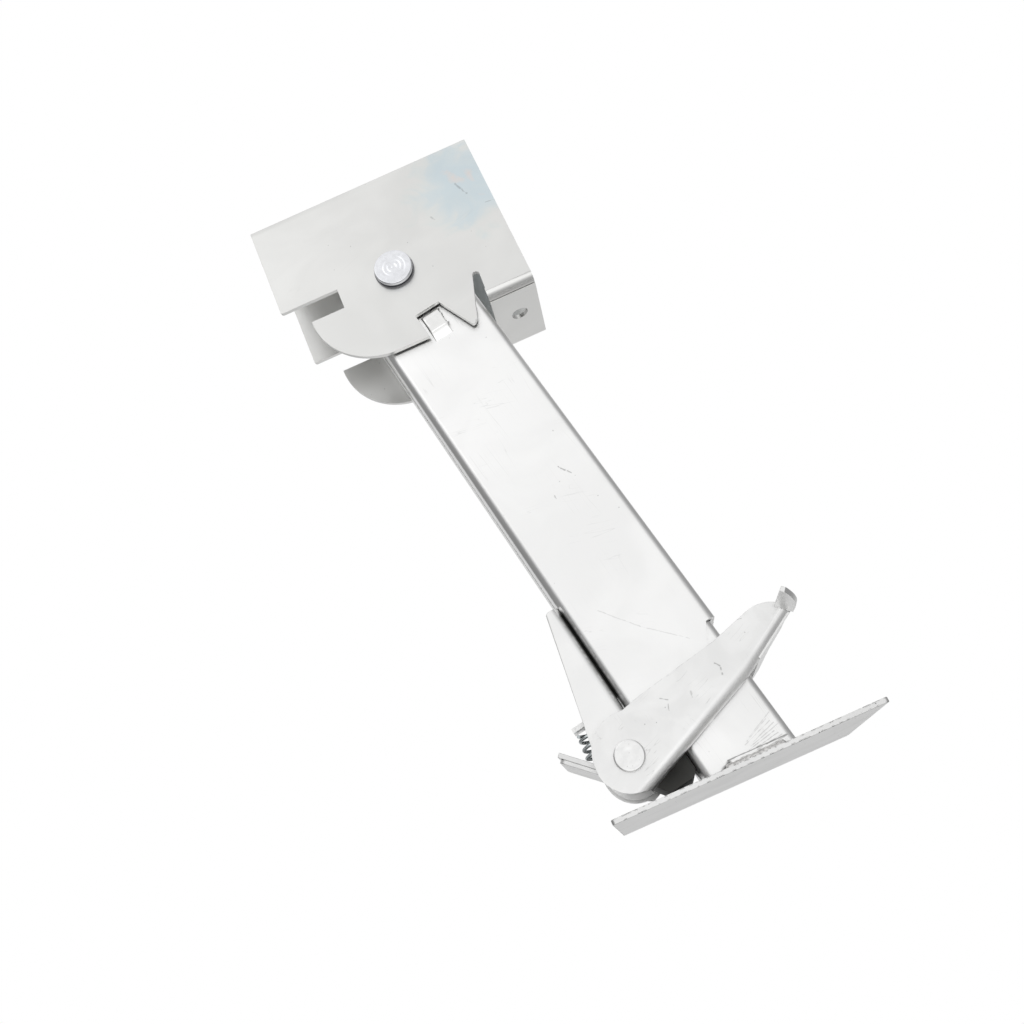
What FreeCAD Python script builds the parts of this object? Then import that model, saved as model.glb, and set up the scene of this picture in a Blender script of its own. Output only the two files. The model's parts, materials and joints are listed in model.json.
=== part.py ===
"""Swing-down telescoping support leg in folded, zinc-plated sheet steel.

Frame: millimetres, +Z up, +X towards the side the leg splays to, +Y to the rear.
The origin is the centre of the bracket's top mounting face.
The leg's own pieces are drawn in a leg frame: the pivot is its origin, x runs across
the leg and z up along it, so "down the leg" is -z. lean() puts them in place.
"""
import FreeCAD, Part
import math
import os

V = FreeCAD.Vector

# ---- bracket -------------------------------------------------------------
bracket_length = 114.3      # along X
bracket_width = 52.0        # outside of one side plate to the outside of the other
bracket_sheet = 2.0
bracket_bend = 4.5          # outside radius of a fold
pivot_drop = 55.5           # mounting face down to the pivot axis
arm_drop = 3.5              # the left arm ends this far above the pivot axis
flange_to_leg = 2.838       # between the leg's right side and the folded-in bottom flange
flange_drop = 34.3          # underside of the flange below the pivot
flange_step = 0.6           # the front fold stops this far above the flange's underside
flange_gap = 0.3            # between the front fold and the flange's cut edge
lobe_x = -13.0              # centre of the rounded lobe, from the pivot
lobe_z = -8.0
lobe_radius = 32.0
slit_top = 19.0             # top of the slit beside the tooth, below the pivot
slit_width = 2.2
tooth_n = 15.4              # tooth tip, across the leg and down it
tooth_s = 47.4
tooth_back_n = 18.2
tooth_back_s = 45.4
corner_round = 1.2
flange_hole_radius = 4.0
flange_hole_x = 46.5
flange_hole_y = -2.0
top_hole_radius = 4.4
top_hole_spacing_x = 76.2
top_hole_spacing_y = 25.4

# ---- pivot ---------------------------------------------------------------
rivet_radius = 4.75
rivet_head_radius = 9.1
rivet_head_height = 2.6
washer_radius = 9.5
washer_thickness = 1.0
sleeve_radius = 6.35
fit = 0.05                  # radial clearance of a turning fit
gap = 0.3                   # clearance between pieces that slide past each other

# ---- legs ----------------------------------------------------------------
splay = 9.6                 # lean of the deployed leg from plumb, degrees
leg_width = 50.8
leg_side_gap = 1.2          # between the leg and each side plate
leg_sheet = 2.0
leg_bend = 4.0
leg_slot = 7.0              # gap between the lips of the outer leg
pull_travel = 24.0          # how far the leg is pulled out of its lock
leg_top_margin = 6.0        # steel left above the sleeve's slot
leg_front_rise = 50.05      # end of the right-hand side, less far down the leg than the foot
leg_low_rise = 16.85        # end of the left-hand side, the same way
leg_step_n = 21.0           # where the end cut starts to slope, across the leg
leg_low_n = 0.7             # where the end cut meets the low end
lip_rise = 38.85            # the lips stop here, to let the pawl in
inner_width = 38.1
inner_sheet = 2.0
inner_bend = 3.4
inner_slot = 8.0
inner_top = 14.0            # top end of the inner leg, down the leg from the pivot
shoe_length = 30.0
foot_drop = 266.85          # pivot axis down to the top of the foot
foot_length = 109.2
foot_width = 95.0
foot_thickness = 2.0
foot_corner = 1.5
weld_leg = 3.9
weld_length = 27.0

# ---- lock lugs -----------------------------------------------------------
lug_width = 9.6
lug_offset = 1.9            # middle of the lug, across the leg
lug_top = 28.6              # start and end of the lug, down the leg
lug_end = 42.6
lug_height = 3.4
lug_play = 1.4              # beside the lug in the deployed notch
lug_side_play = 0.7         # beside the lug in the stowed notch
notch_floor = 26.8          # depth of the deployed notch, from the pivot
stowed_floor = 28.4         # depth of the stowed notch

# ---- lever, its bracket and the pawl ---------------------------------------
ear_length = 66.5           # the ear's top to the lever rivet, along the leg
ear_neck = 5.6              # width of the ear at its top
ear_corner = 1.5
ear_radius = 12.9
lever_reach = 9.3           # leg's left side to the lever rivet
lever_rise = 22.35          # lever rivet, less far down the leg than the foot
web_rise = 44.85            # end of the ears' web, the same way
shelf_reach = 20.5          # spring shelf, from the web outwards
shelf_width = 10.0
ear_sheet = 2.0
lever_sheet = 2.0
lever_standoff = 3.5        # outside of the ear to the inside of the lever's cheek
lever_radius = 14.0
lever_bend = 4.6
lever_web_gap = 3.4         # between the leg's right side and the lever's cross web
lever_taper_start = 12.0    # beyond the knee the web narrows
lever_taper_depth = 27.0    # how far back the web reaches where it starts to narrow
lever_end_depth = 17.5      # how far the web reaches back at the lever's end
lever_tip_depth = 6.0       # how deep the fold is at the very tip
lever_taper_run = 3.0       # length of the first narrowing of the web
lever_tip_length = 5.0      # length of the part that is only the fold
lever_tip_slant = 0.4
tab_length = 24.0
tab_width = 7.6
lever_rivet_radius = 4.0
lever_rivet_head = 6.15
lever_head_height = 2.0
bush_radius = 6.3
hub_radius = 7.9
pawl_side_gap = 2.3         # between the pawl and each ear
paddle_length = 27.6
paddle_sheet = 2.0
paddle_slope = 139.5        # direction of the pawl's paddle, degrees
toe_clearance = 0.3         # between the pawl's toe and the inner leg at rest
toe_top = 5.0               # the toe's face against the inner leg, below the rivet
toe_low = 19.0              # lowest part of the toe, below the rivet
toe_inset = 4.0             # the toe is narrower than the pawl by this on each side
toe_chamfer = 2.5
backing_short = 1.2         # the paddle's second layer ends this far short of it
backing_start = 2.0
backing_corner = 3.0
spring_radius = 4.2
spring_wire = 0.75          # radius of the wire
spring_turns = 3.5
spring_clearance = 0.5      # between the spring's end coils and their seats
spring_to_hub = 1.4         # between the spring and the pawl's hub
wire_sides = 12             # the wire is drawn with this many flats

half_width = bracket_width / 2
half_gap = half_width - bracket_sheet
half_depth = half_gap - leg_side_gap
right_n = leg_width / 2
inner_half = half_depth - leg_sheet - gap
inner_right = right_n - leg_sheet - gap
inner_left = inner_right - inner_width
lean_angle = math.radians(splay)
flange_left = (right_n * math.cos(lean_angle) + flange_to_leg
               + math.tan(lean_angle) * (flange_drop + right_n * math.sin(lean_angle)))
slit_left = flange_left - slit_width
leg_front_end = foot_drop - leg_front_rise
leg_low_end = foot_drop - leg_low_rise
lip_end = foot_drop - lip_rise
web_end = foot_drop - web_rise
lever_n = -right_n - lever_reach
lever_s = foot_drop - lever_rise
ear_top = lever_s - ear_length
lever_web_start = leg_width + lever_reach + lever_web_gap
pawl_half_width = half_depth - ear_sheet - pawl_side_gap


# ---- small tools -----------------------------------------------------------
def box(x0, x1, y0, y1, z0, z1):
    """A block from its lowest and highest corner."""
    return Part.makeBox(x1 - x0, y1 - y0, z1 - z0, V(x0, y0, z0))


def disc(x, z, radius, y0, y1):
    """A cylinder along Y."""
    return Part.makeCylinder(radius, y1 - y0, V(x, y0, z), V(0, 1, 0))


def prism(points, y0, y1):
    """An outline in XZ, carried along Y. An arc is given as a pair, its middle point and
    its end point."""
    edges = []
    here = V(points[0][0], y0, points[0][1])
    first = here
    for point in points[1:] + [points[0]]:
        if isinstance(point[0], tuple):
            middle = V(point[0][0], y0, point[0][1])
            end = V(point[1][0], y0, point[1][1])
            edges.append(Part.Arc(here, middle, end).toShape())
        else:
            end = V(point[0], y0, point[1])
            if end.distanceToPoint(here) > 1e-6:
                edges.append(Part.LineSegment(here, end).toShape())
        here = end
    if here.distanceToPoint(first) > 1e-6:
        edges.append(Part.LineSegment(here, first).toShape())
    return Part.Face(Part.Wire(edges)).extrude(V(0, y1 - y0, 0))


def round_edges(shape, radius, wanted):
    """Rounds the straight edges that wanted(edge's middle, its direction) picks."""
    picked = []
    for edge in shape.Edges:
        if isinstance(edge.Curve, Part.Line):
            middle = edge.valueAt((edge.FirstParameter + edge.LastParameter) / 2)
            if wanted(middle, edge.tangentAt(edge.FirstParameter)):
                picked.append(edge)
    return shape.makeFillet(radius, picked)


def near(x, z):
    """Picks edges along Y that pass through (x, z)."""
    def test(middle, direction):
        return abs(direction.y) > 0.99 and abs(middle.x - x) + abs(middle.z - z) < 0.02
    return test


def rounded_block(x0, x1, y0, y1, z0, z1, radius, axis):
    """A block whose four edges along one axis are rounded."""
    block = box(x0, x1, y0, y1, z0, z1)
    return round_edges(block, radius, lambda m, d: abs(getattr(d, axis)) > 0.99)


def lean(shape):
    """From the leg frame to the bracket's frame."""
    shape = shape.copy()
    shape.rotate(V(0, 0, 0), V(0, 1, 0), -splay)
    shape.translate(V(0, 0, -pivot_drop))
    return shape


def leg_point(n, s):
    """A point across and down the leg, as X and Z from the pivot in the bracket's frame."""
    a = lean_angle
    return (n * math.cos(a) + s * math.sin(a), n * math.sin(a) - s * math.cos(a))


def both_sides(shape):
    """The shape and its mirror image front to back."""
    return Part.makeCompound([shape, shape.mirror(V(0, 0, 0), V(0, 1, 0))])


# ---- bracket -----------------------------------------------------------------
def side_outline():
    """Outline of both side plates, from the pivot, with the two notches and the tooth."""
    half = bracket_length / 2
    stowed_z = -lug_offset
    stowed_half = lug_width / 2 + lug_side_play
    notch_left = lug_offset - lug_width / 2 - lug_play
    notch_right = lug_offset + lug_width / 2 + lug_play
    lobe_low = lobe_z - lobe_radius
    lobe_top_z = stowed_z - stowed_half
    lobe_tip_x = lobe_x - math.sqrt(lobe_radius ** 2 - (lobe_top_z - lobe_z) ** 2)
    bulge = math.radians(228)
    lobe_middle = (lobe_x + lobe_radius * math.cos(bulge),
                   lobe_z + lobe_radius * math.sin(bulge))
    wall_foot = leg_point(notch_left, -lobe_low / math.cos(lean_angle))
    return [
        (-half, pivot_drop),
        (half, pivot_drop),
        (half, -flange_drop),
        (flange_left, -flange_drop),
        (flange_left + 0.9, -slit_top - 2.0),
        ((flange_left - 0.2, -slit_top + 0.4), (slit_left, -slit_top)),
        leg_point(tooth_back_n, tooth_back_s),
        leg_point(tooth_n, tooth_s),
        leg_point(notch_right, notch_floor),
        leg_point(notch_left, notch_floor),
        (wall_foot[0], lobe_low),
        (lobe_x, lobe_low),
        (lobe_middle, (lobe_tip_x, lobe_top_z)),
        (-stowed_floor, lobe_top_z),
        (-stowed_floor, arm_drop),
        (-half, arm_drop),
    ]


def folded_section(x0, x1, bottom):
    """A closed folded tube of sheet from x0 to x1, with its bottom at the given depth."""
    outer = rounded_block(x0, x1, -half_width, half_width, bottom, pivot_drop, bracket_bend, "x")
    sheet = bracket_sheet
    inner = rounded_block(x0 - 1, x1 + 1, -half_gap, half_gap, bottom + sheet,
                          pivot_drop - sheet, bracket_bend - sheet, "x")
    return outer.cut(inner)


def make_bracket():
    half = bracket_length / 2
    deep = lobe_z - lobe_radius - tooth_s
    channel = folded_section(-half, half, deep)
    plates = channel.common(prism(side_outline(), -half_width - 1, half_width + 1))
    box_side = plates.cut(box(flange_left, half, -half_width, half_width, -flange_drop - 1,
                              -flange_drop + bracket_bend))
    front_y = -half_width + bracket_bend
    front = folded_section(flange_left, half, -flange_drop + flange_step)
    front = front.common(box(flange_left, half, -half_width, front_y,
                             -flange_drop, -flange_drop + bracket_bend + flange_step))
    rear = folded_section(flange_left, half, -flange_drop)
    rear = rear.common(box(flange_left, half, front_y + flange_gap, half_width,
                           -flange_drop, -flange_drop + bracket_bend))
    plate_strip = box(flange_left, half, -half_width, -half_gap,
                      -flange_drop + bracket_bend - 0.5, -flange_drop + bracket_bend + 1)
    bracket = box_side.fuse([front, rear, plate_strip]).removeSplitter()
    tip_x, tip_z = leg_point(tooth_n, tooth_s)
    bracket = round_edges(bracket, corner_round, near(tip_x, tip_z))
    bracket = round_edges(bracket, corner_round, near(-half, arm_drop))
    hole = Part.makeCylinder(flange_hole_radius, 4 * bracket_sheet,
                             V(flange_hole_x, flange_hole_y, -flange_drop - bracket_sheet))
    bracket = bracket.cut(hole)
    for x in (-top_hole_spacing_x / 2, top_hole_spacing_x / 2):
        for y in (-top_hole_spacing_y / 2, top_hole_spacing_y / 2):
            bracket = bracket.cut(Part.makeCylinder(
                top_hole_radius, 4 * bracket_sheet, V(x, y, pivot_drop - 2 * bracket_sheet)))
    bracket = bracket.cut(disc(0, 0, rivet_radius + fit, -half_width - 1, half_width + 1))
    bracket.translate(V(0, 0, -pivot_drop))
    return bracket


def make_pivot_rivet():
    under_head = half_width + washer_thickness
    rivet = disc(0, 0, rivet_radius, -under_head, under_head)
    for y in (-under_head - rivet_head_height, under_head):
        head = disc(0, 0, rivet_head_radius, y, y + rivet_head_height)
        far = y if y < 0 else y + rivet_head_height
        rim = [e for e in head.Edges if e.Length > 1.0 and abs(e.BoundBox.YMin - far) < 1e-6
               and abs(e.BoundBox.YMax - far) < 1e-6]
        rivet = rivet.fuse(head.makeFillet(0.7, rim))
    rivet.translate(V(0, 0, -pivot_drop))
    return rivet


def make_pivot_washer(side):
    y0, y1 = sorted((side * half_width, side * (half_width + washer_thickness)))
    washer = disc(0, 0, washer_radius, y0, y1).cut(disc(0, 0, rivet_radius + fit, y0, y1))
    washer.translate(V(0, 0, -pivot_drop))
    return washer


def make_pivot_sleeve():
    reach = half_gap - gap / 3
    sleeve = disc(0, 0, sleeve_radius, -reach, reach)
    sleeve = sleeve.cut(disc(0, 0, rivet_radius + fit, -reach, reach))
    return lean(sleeve)


# ---- legs ------------------------------------------------------------------------
def lipped_channel(n0, n1, half, sheet, bend, slot, top, low):
    """A rolled channel open by a slot on its left side, from s = top to s = low."""
    outer = rounded_block(n0, n1, -half, half, -low, -top, bend, "z")
    inner = rounded_block(n0 + sheet, n1 - sheet, -half + sheet, half - sheet,
                          -low - 1, -top + 1, bend - sheet, "z")
    opening = box(n0 - 1, n0 + sheet + 1, -slot / 2, slot / 2, -low - 1, -top + 1)
    return outer.cut(inner).cut(opening)


def make_outer_leg():
    top = -(pull_travel + sleeve_radius + leg_top_margin)
    leg = lipped_channel(-right_n, right_n, half_depth, leg_sheet, leg_bend, leg_slot,
                         top, leg_low_end)
    radius = sleeve_radius + fit * 3
    slot = disc(0, 0, radius, -half_depth - 1, half_depth + 1)
    slot = slot.fuse(disc(0, pull_travel, radius, -half_depth - 1, half_depth + 1))
    slot = slot.fuse(box(-radius, radius, -half_depth - 1, half_depth + 1, 0, pull_travel))
    leg = leg.cut(slot)
    past = leg_low_end + 5
    end_cut = prism([(right_n + 1, -leg_front_end), (leg_step_n, -leg_front_end),
                     (leg_low_n, -leg_low_end), (leg_low_n, -past), (right_n + 1, -past)],
                    -half_depth - 1, half_depth + 1)
    leg = leg.cut(end_cut)
    lips = box(-right_n - 1, -right_n + leg_sheet, -half_depth + leg_sheet,
               half_depth - leg_sheet, -past, -lip_end)
    return lean(leg.cut(lips))


def make_lock_lug(side):
    """A bridge pressed out of the leg's wall, arched along the leg."""
    middle = (lug_top + lug_end) / 2
    reach = (lug_end - lug_top) / 2
    wall = half_depth
    rise = 0.5 * lug_height
    points = [V(0, wall, -lug_top), V(0, wall + rise, -lug_top),
              V(0, wall + lug_height, -middle), V(0, wall, -lug_end)]
    crown = V(0, wall + lug_height * 0.97, -middle + reach * 0.42)
    tail = V(0, wall + lug_height * 0.72, -middle - reach * 0.5)
    edges = [Part.LineSegment(points[0], points[1]).toShape(),
             Part.Arc(points[1], crown, points[2]).toShape(),
             Part.Arc(points[2], tail, points[3]).toShape(),
             Part.LineSegment(points[3], points[0]).toShape()]
    lug = Part.Face(Part.Wire(edges)).extrude(V(lug_width, 0, 0))
    lug.translate(V(lug_offset - lug_width / 2, 0, 0))
    if side < 0:
        lug = lug.mirror(V(0, 0, 0), V(0, 1, 0))
    return lean(lug)


def make_inner_leg():
    deep = foot_drop + foot_length / 2
    leg = lean(lipped_channel(inner_left, inner_right, inner_half, inner_sheet, inner_bend,
                              inner_slot, inner_top, deep))
    floor = -pivot_drop - foot_drop
    return leg.cut(box(-deep, deep, -half_depth, half_depth, floor - deep, floor))


def make_slide_shoe():
    n0 = -right_n + leg_sheet + gap
    low = inner_top + 2.0 + shoe_length
    shoe = box(n0, inner_left, -inner_half + inner_bend, inner_half - inner_bend,
               -low, -inner_top - 2.0)
    return lean(round_edges(shoe, 1.0, lambda m, d: abs(m.x - n0) < 0.01))


def foot_middle():
    """X where the leg's middle line meets the foot."""
    return foot_drop * math.tan(lean_angle)


def make_foot_plate():
    middle = foot_middle()
    top = -pivot_drop - foot_drop
    return rounded_block(middle - foot_length / 2, middle + foot_length / 2,
                         -foot_width / 2, foot_width / 2, top - foot_thickness, top,
                         foot_corner, "z")


def make_foot_weld():
    """Fillet beads at the right-hand end of the inner leg's front and rear walls."""
    top = -pivot_drop - foot_drop
    end = leg_point(inner_right - inner_bend, foot_drop / math.cos(lean_angle))[0]
    bead = Part.Face(Part.makePolygon([
        V(end, -inner_half, top), V(end, -inner_half - weld_leg, top),
        V(end, -inner_half, top + weld_leg), V(end, -inner_half, top)]))
    bead = bead.extrude(V(-weld_length, 0, 0))
    return both_sides(bead)


# ---- lever bracket ------------------------------------------------------------------
def make_lever_bracket():
    """A folded U on the leg's left side, whose two ears hold the lever rivet."""
    n1 = -right_n
    n0 = n1 - 40.0
    low = lever_s + ear_radius + 1
    outer = box(n0, n1, -half_depth, half_depth, -low, -ear_top)
    outer = round_edges(outer, leg_bend, lambda m, d: abs(d.z) > 0.99 and abs(m.x - n1) < 0.01)
    inner = box(n0 - 1, n1 - ear_sheet, -half_depth + ear_sheet, half_depth - ear_sheet,
                -low - 1, -ear_top + 1)
    inner = round_edges(inner, leg_bend - ear_sheet,
                        lambda m, d: abs(d.z) > 0.99 and abs(m.x - n1 + ear_sheet) < 0.01)
    folded = outer.cut(inner)
    start = (n1 - ear_neck, -ear_top)
    across = lever_n - start[0]
    down = -lever_s - start[1]
    far = math.hypot(across, down)
    heading = math.atan2(down, across) - math.asin(ear_radius / far)
    run = math.sqrt(far ** 2 - ear_radius ** 2)
    touch = (start[0] + run * math.cos(heading), start[1] + run * math.sin(heading))
    right = n1 - lever_n
    foot_of_ear = (n1, -lever_s - math.sqrt(ear_radius ** 2 - right ** 2))
    outline = prism([(n1, -ear_top), start, touch,
                     ((lever_n - ear_radius * 0.6, -lever_s - ear_radius * 0.8), foot_of_ear)],
                    -half_depth - 1, half_depth + 1)
    folded = round_edges(folded.common(outline), ear_corner, near(*start))
    open_end = box(n1 - 2 * leg_bend, n1, -half_depth + ear_sheet, half_depth - ear_sheet,
                   -low - 1, -web_end)
    folded = folded.cut(open_end)
    shelf = box(n1 - ear_sheet - shelf_reach, n1 - ear_sheet / 2, -shelf_width / 2,
                shelf_width / 2, -web_end, -web_end + ear_sheet)
    folded = folded.fuse(shelf)
    folded = folded.cut(disc(lever_n, -lever_s, lever_rivet_radius + fit,
                             -half_depth - 1, half_depth + 1))
    return lean(folded.removeSplitter())


# ---- lever. Its outline is drawn from the lever rivet, in the bracket's directions ----
def lever_place(shape):
    """Moves a shape drawn about the lever rivet into place."""
    x, z = leg_point(lever_n, lever_s)
    shape = shape.copy()
    shape.translate(V(x, 0, z - pivot_drop))
    return shape


lever_heel = (2.3, -15.2)    # lower corner beside the round end
lever_knee = (leg_width + 5.0, 9.8)      # where the lower edge turns up
lever_nose = (leg_width + 32.0, 26.6)    # lower corner of the end
lever_brow = (leg_width + 26.2, 31.3)    # upper corner of the end
lever_top = (leg_width + 21.7, 32.9)
lever_crown = (leg_width + 15.2, 32.6)
lever_back = (leg_width - 2.2, 27.0)
lever_shoulder = (13.3, 19.5)
lever_neck = (4.6, 17.0)


def cheek_outline():
    """The lever's cheek: round end, straight lower edge, rising back, blunt end."""
    side = (-lever_radius * math.cos(math.radians(8)), lever_radius * math.sin(math.radians(8)))
    low = (-0.5, -lever_radius)
    low_left = (-lever_radius * 0.78, -lever_radius * 0.626)
    high_left = (-lever_radius * 0.82, lever_radius * 0.69)
    return [lever_heel, lever_knee, lever_nose, lever_brow,
            (lever_top, lever_crown), lever_back, lever_shoulder, lever_neck,
            (high_left, side), (low_left, low)]


def lower_edge_band(thickness, y0, y1, start):
    """A strip of sheet along the lower edge, beyond a distance start from the rivet."""
    def offset(a, b):
        length = math.hypot(b[0] - a[0], b[1] - a[1])
        return (-(b[1] - a[1]) / length * thickness, (b[0] - a[0]) / length * thickness)
    first = offset(lever_heel, lever_knee)
    second = offset(lever_knee, lever_nose)
    points = [lever_heel, lever_knee, lever_nose,
              (lever_nose[0] + second[0], lever_nose[1] + second[1]),
              (lever_knee[0] + (first[0] + second[0]) / 2,
               lever_knee[1] + (first[1] + second[1]) / 2),
              (lever_heel[0] + first[0], lever_heel[1] + first[1])]
    band = prism(points, y0, y1)
    if start > 0:
        band = band.cut(disc(0, 0, start, y0 - 1, y1 + 1))
    return band


def make_lever():
    inside = half_depth + lever_standoff
    outside = inside + lever_sheet
    flange = half_depth + gap * 2
    solid = prism(cheek_outline(), -outside, -flange)
    folds = [V((a[0] + b[0]) / 2, -outside, (a[1] + b[1]) / 2)
             for a, b in ((lever_heel, lever_knee), (lever_knee, lever_nose))]
    solid = round_edges(solid, lever_bend,
                        lambda m, d: min((m - fold).Length for fold in folds) < 0.1)
    core = prism(cheek_outline(), -inside, -flange + 1)
    core = core.cut(lower_edge_band(lever_sheet, -inside - 1, -flange + 2, 0))
    core = round_edges(core, lever_bend - lever_sheet,
                       lambda m, d: min((m - fold).Length for fold in folds) < 2 * lever_sheet
                       and abs(m.y + inside) < 0.01)
    front = solid.cut(core)
    web = lower_edge_band(lever_sheet, -inside, outside, lever_web_start)
    nose_y = -outside + lever_end_depth
    tip_y = -outside + lever_tip_depth
    taper_x = lever_knee[0] + lever_taper_start
    nose_x = lever_nose[0]
    far = 2 * nose_x
    beyond = Part.Face(Part.makePolygon([
        V(taper_x, outside + 1, -far),
        V(taper_x + lever_taper_run, -outside + lever_taper_depth, -far),
        V(nose_x - lever_tip_length, nose_y, -far),
        V(nose_x - lever_tip_length + lever_tip_slant, tip_y, -far), V(far, tip_y, -far),
        V(far, outside + 1, -far), V(taper_x, outside + 1, -far)])).extrude(V(0, 0, 2 * far))
    web = web.cut(beyond)
    rear = prism(cheek_outline(), inside, outside)
    rear = rear.cut(box(taper_x, far, inside - 1, outside + 1, -far, far))
    lever = front.fuse([web, rear, make_finger_tab(outside)])
    lever = lever.cut(disc(0, 0, lever_rivet_radius + fit, -outside - 1, outside + 1))
    return lever_place(lever.removeSplitter())


def make_finger_tab(outside):
    """A rounded tab folded forward from the lever's end."""
    ax, az = lever_brow[0] + 0.3, lever_brow[1] - 0.2
    bx, bz = lever_nose
    length = math.hypot(bx - ax, bz - az)
    along = V((bx - ax) / length, 0, (bz - az) / length)
    inward = V(along.z, 0, -along.x)
    origin = V(ax, -outside + lever_sheet / 2, az)
    far = origin + V(0, -tab_length - lever_sheet / 2, 0)
    corner = origin + along * tab_width
    shoulder = corner + V(0, -tab_length * 0.3, 0)
    bulge = origin + along * (tab_width * 0.80) + V(0, -tab_length * 0.72, 0)
    tip = far + along * (tab_width * 0.22)
    edges = [Part.LineSegment(origin, far).toShape(),
             Part.LineSegment(far, tip).toShape(),
             Part.Arc(tip, bulge, shoulder).toShape(),
             Part.LineSegment(shoulder, corner).toShape(),
             Part.LineSegment(corner, origin).toShape()]
    if inward.z > 0:
        inward = inward * -1
    return Part.Face(Part.Wire(edges)).extrude(inward * lever_sheet)


def make_lever_rivet():
    outside = half_depth + lever_standoff + lever_sheet
    rivet = disc(0, 0, lever_rivet_radius, -outside, outside)
    for y in (-outside - lever_head_height, outside):
        head = disc(0, 0, lever_rivet_head, y, y + lever_head_height)
        far = y if y < 0 else y + lever_head_height
        rim = [e for e in head.Edges if abs(e.BoundBox.YMin - far) < 1e-6
               and abs(e.BoundBox.YMax - far) < 1e-6]
        rivet = rivet.fuse(head.makeFillet(0.8, rim))
    return lever_place(rivet)


def make_lever_washer(side):
    inner = half_depth + gap / 3
    outer = half_depth + lever_standoff - gap / 3
    y0, y1 = sorted((side * inner, side * outer))
    washer = disc(0, 0, bush_radius + 1.5, y0, y1)
    return lever_place(washer.cut(disc(0, 0, lever_rivet_radius + fit, y0, y1)))


def make_lever_bush():
    reach = half_depth - ear_sheet - gap / 3
    bush = disc(0, 0, bush_radius, -reach, reach)
    return lever_place(bush.cut(disc(0, 0, lever_rivet_radius + fit, -reach, reach)))


# ---- pawl, its paddle and its spring ---------------------------------------------------
def paddle_frame():
    """Unit vectors along the paddle, away from the rivet, and up from its top face."""
    a = math.radians(paddle_slope)
    return (math.cos(a), math.sin(a)), (math.sin(a), -math.cos(a))


def paddle_strip(lift0, lift1, t0, t1):
    """Corners of a strip of the paddle: t runs along it, lift is from the rivet's centre."""
    along, up = paddle_frame()
    corners = ((t0, lift0), (t1, lift0), (t1, lift1), (t0, lift1))
    return [(t * along[0] + k * up[0], t * along[1] + k * up[1]) for t, k in corners]


def make_grip_pawl():
    """A hub on the lever bush with a toe against the inner leg and a paddle outside."""
    w = pawl_half_width
    hub = disc(0, 0, hub_radius, -w, w)
    paddle = prism(paddle_strip(-hub_radius, -hub_radius + paddle_sheet, 0, paddle_length), -w, w)
    reach = inner_left - toe_clearance - lever_n
    pivot = leg_point(lever_n, lever_s)

    def rel(n, s):
        x, z = leg_point(lever_n + n, lever_s + s)
        return (x - pivot[0], z - pivot[1])
    toe = prism([rel(1.0, -5.5), rel(reach - 4.0, 1.5), rel(reach, toe_top),
                 rel(reach, toe_low - toe_chamfer), rel(reach - toe_chamfer, toe_low),
                 rel(6.0, toe_low), rel(-3.0, hub_radius - 1.5)], -w + toe_inset, w - toe_inset)
    pawl = hub.fuse([paddle, toe]).cut(disc(0, 0, bush_radius + fit, -w - 1, w + 1))
    return lever_place(pawl.removeSplitter())


def make_paddle_backing():
    """A second layer of sheet under the paddle."""
    low = -hub_radius - paddle_sheet + gap
    strip = paddle_strip(low, -hub_radius, backing_start, paddle_length - backing_short)
    backing = prism(strip, -pawl_half_width, pawl_half_width)
    return lever_place(round_backing(backing))


def round_backing(backing):
    """Rounds the outer corners of the backing's free end."""
    along, up = paddle_frame()
    end = (paddle_length - backing_short) * along[0] - hub_radius * up[0]
    return round_edges(backing, backing_corner, lambda m, d: abs(d.y) < 0.01 and m.x < end + 2.0
                       and abs(abs(m.y) - pawl_half_width) < 0.01
                       and abs(d.x * up[0] + d.z * up[1]) > 0.99)


def spring_ends():
    """Middles of the spring's two end coils, by the paddle and by the shelf. A coil that is
    tilted to its seat stands off it by the rise of its own edge."""
    along, up = paddle_frame()
    pivot = leg_point(lever_n, lever_s)
    n = -right_n - ear_sheet - shelf_reach + spring_radius + spring_wire
    reach = spring_radius + spring_wire
    seat = hub_radius + spring_to_hub + reach
    seat_lift = -hub_radius + paddle_sheet
    base_lift = top_drop = spring_wire + spring_clearance
    for _ in range(4):
        lift = seat_lift + base_lift
        base = V(seat * along[0] + lift * up[0], 0, seat * along[1] + lift * up[1])
        x, z = leg_point(n, web_end + top_drop)
        top = V(x - pivot[0], 0, z - pivot[1])
        axis = (top - base).normalize()
        shelf_normal = V(-math.sin(lean_angle), 0, math.cos(lean_angle))
        tilt = math.sin(axis.getAngle(shelf_normal))
        top_drop = spring_wire + spring_clearance + reach * tilt
        tilt = math.sin(axis.getAngle(V(up[0], 0, up[1])))
        base_lift = spring_wire + spring_clearance + reach * tilt
    return base, top


def make_grip_spring():
    base, top = spring_ends()
    axis = top - base
    length = axis.Length
    pitch = length / spring_turns
    helix = Part.makeHelix(pitch, length, spring_radius)
    outwards = V(1, 0, 0)
    tangent = V(0, 2 * math.pi * spring_radius, pitch).normalize()
    across = tangent.cross(outwards)
    ring = []
    for side in range(wire_sides + 1):
        a = 2 * math.pi * side / wire_sides
        ring.append(outwards * (spring_radius + spring_wire * math.cos(a))
                    + across * (spring_wire * math.sin(a)))
    coil = Part.Wire(helix.Edges).makePipeShell([Part.makePolygon(ring)], True, True)
    turn = FreeCAD.Rotation(V(0, 0, 1), axis)
    coil.Placement = FreeCAD.Placement(base, turn).multiply(coil.Placement)
    return lever_place(coil)


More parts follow.
